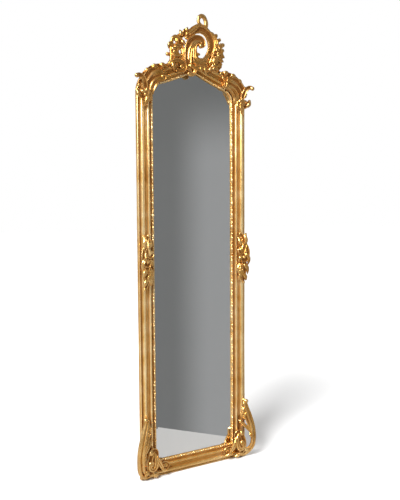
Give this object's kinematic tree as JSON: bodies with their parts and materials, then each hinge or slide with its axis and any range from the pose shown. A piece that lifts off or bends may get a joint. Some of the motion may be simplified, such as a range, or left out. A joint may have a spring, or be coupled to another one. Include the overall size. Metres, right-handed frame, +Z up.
{
  "type": "floor mirror",
  "caption": "Tall free-standing floor mirror: gilded moulded frame with carved scrolls and an arched pierced crest, bevelled glass and a folding back strut.",
  "frame": {"origin": "on the floor, at the middle of the flat strip under the bottom rail", "axes": "+Z up, -Y is the side that the glass faces, +X to the right when facing the back from the front"},
  "size_m": [0.5364, 0.2667, 1.8073],
  "materials": {
    "gilded_moulding": "gold leaf over gesso, toned in the hollows",
    "gilded_bead": "gold leaf, toned between the beads",
    "gilded_carving": "burnished gold leaf over carved ornament",
    "mirror_glass": "silvered, with a narrow bevel",
    "slip_card": "grey card",
    "backing_plywood": "thin plywood",
    "stained_wood": "stained softwood",
    "foot_rubber": "ribbed",
    "plated_steel": "zinc plated",
    "wire_steel": "drawn wire",
    "screw_steel": "zinc plated"
  },
  "bodies": {
    "root": {"left_stile": "gilded_moulding", "right_stile": "gilded_moulding", "bottom_rail": "gilded_moulding", "shoulder_left": "gilded_moulding", "shoulder_right": "gilded_moulding", "arch_rail_left": "gilded_moulding", "arch_rail_right": "gilded_moulding", "left_bead": "gilded_bead", "right_bead": "gilded_bead", "bottom_bead": "gilded_bead", "shoulder_bead_left": "gilded_bead", "shoulder_bead_right": "gilded_bead", "arch_bead_left": "gilded_bead", "arch_bead_right": "gilded_bead", "crest_scroll": "gilded_carving", "crest_spray": "gilded_carving", "crest_flowers": "gilded_carving", "corner_shell_left": "gilded_carving", "corner_shell_right": "gilded_carving", "mid_spray_left": "gilded_carving", "mid_spray_right": "gilded_carving", "foot_scroll_left": "gilded_carving", "foot_scroll_right": "gilded_carving", "mirror_glass": "mirror_glass", "glass_slip": "slip_card", "backing_board": "backing_plywood", "button_screws": "screw_steel", "corner_plates": "plated_steel", "shoulder_plates": "plated_steel", "centre_plate": "plated_steel", "plate_screws": "screw_steel", "cross_batten": "stained_wood", "batten_screws": "screw_steel", "hinge_leaf_fixed": "plated_steel", "hinge_pin": "wire_steel", "hinge_screws_fixed": "screw_steel", "ring_plate_left": "plated_steel", "ring_plate_right": "plated_steel", "ring_screws": "screw_steel"},
    "strut": {"hinge_leaf_moving": "plated_steel", "hinge_screws_moving": "screw_steel", "strut_leg": "stained_wood", "strut_foot": "foot_rubber"},
    "ring_left": {"ring_left": "wire_steel"},
    "ring_right": {"ring_right": "wire_steel"},
    "button_1": {"turn_button_1": "plated_steel"},
    "button_2": {"turn_button_2": "plated_steel"},
    "button_3": {"turn_button_3": "plated_steel"},
    "button_4": {"turn_button_4": "plated_steel"},
    "button_5": {"turn_button_5": "plated_steel"},
    "button_6": {"turn_button_6": "plated_steel"},
    "button_7": {"turn_button_7": "plated_steel"},
    "button_8": {"turn_button_8": "plated_steel"}
  },
  "joints": [
    {"name": "strut_fold", "type": "hinge", "parent": "root", "child": "strut", "pos_m": [0, 0.0325, 0.9], "axis": [1, 0, 0], "range_deg": [-11, 0]},
    {"name": "ring_swing_left", "type": "hinge", "parent": "root", "child": "ring_left", "pos_m": [-0.205, 0.0142, 1.33], "axis": [1, 0, 0], "range_deg": [0, 150]},
    {"name": "ring_swing_right", "type": "hinge", "parent": "root", "child": "ring_right", "pos_m": [0.205, 0.0142, 1.33], "axis": [1, 0, 0], "range_deg": [0, 150]},
    {"name": "button_turn_1", "type": "hinge", "parent": "root", "child": "button_1", "pos_m": [-0.192, 0.011, 0.33], "axis": [0, 1, 0], "range_deg": [-90, 90]},
    {"name": "button_turn_2", "type": "hinge", "parent": "root", "child": "button_2", "pos_m": [-0.192, 0.011, 0.78], "axis": [0, 1, 0], "range_deg": [-90, 90]},
    {"name": "button_turn_3", "type": "hinge", "parent": "root", "child": "button_3", "pos_m": [-0.192, 0.011, 1.4], "axis": [0, 1, 0], "range_deg": [-90, 90]},
    {"name": "button_turn_4", "type": "hinge", "parent": "root", "child": "button_4", "pos_m": [0.192, 0.011, 0.33], "axis": [0, 1, 0], "range_deg": [-90, 90]},
    {"name": "button_turn_5", "type": "hinge", "parent": "root", "child": "button_5", "pos_m": [0.192, 0.011, 0.78], "axis": [0, 1, 0], "range_deg": [-90, 90]},
    {"name": "button_turn_6", "type": "hinge", "parent": "root", "child": "button_6", "pos_m": [0.192, 0.011, 1.4], "axis": [0, 1, 0], "range_deg": [-90, 90]},
    {"name": "button_turn_7", "type": "hinge", "parent": "root", "child": "button_7", "pos_m": [-0.09, 0.011, 0.047], "axis": [0, 1, 0], "range_deg": [-90, 90]},
    {"name": "button_turn_8", "type": "hinge", "parent": "root", "child": "button_8", "pos_m": [0.09, 0.011, 0.047], "axis": [0, 1, 0], "range_deg": [-90, 90]}
  ]
}
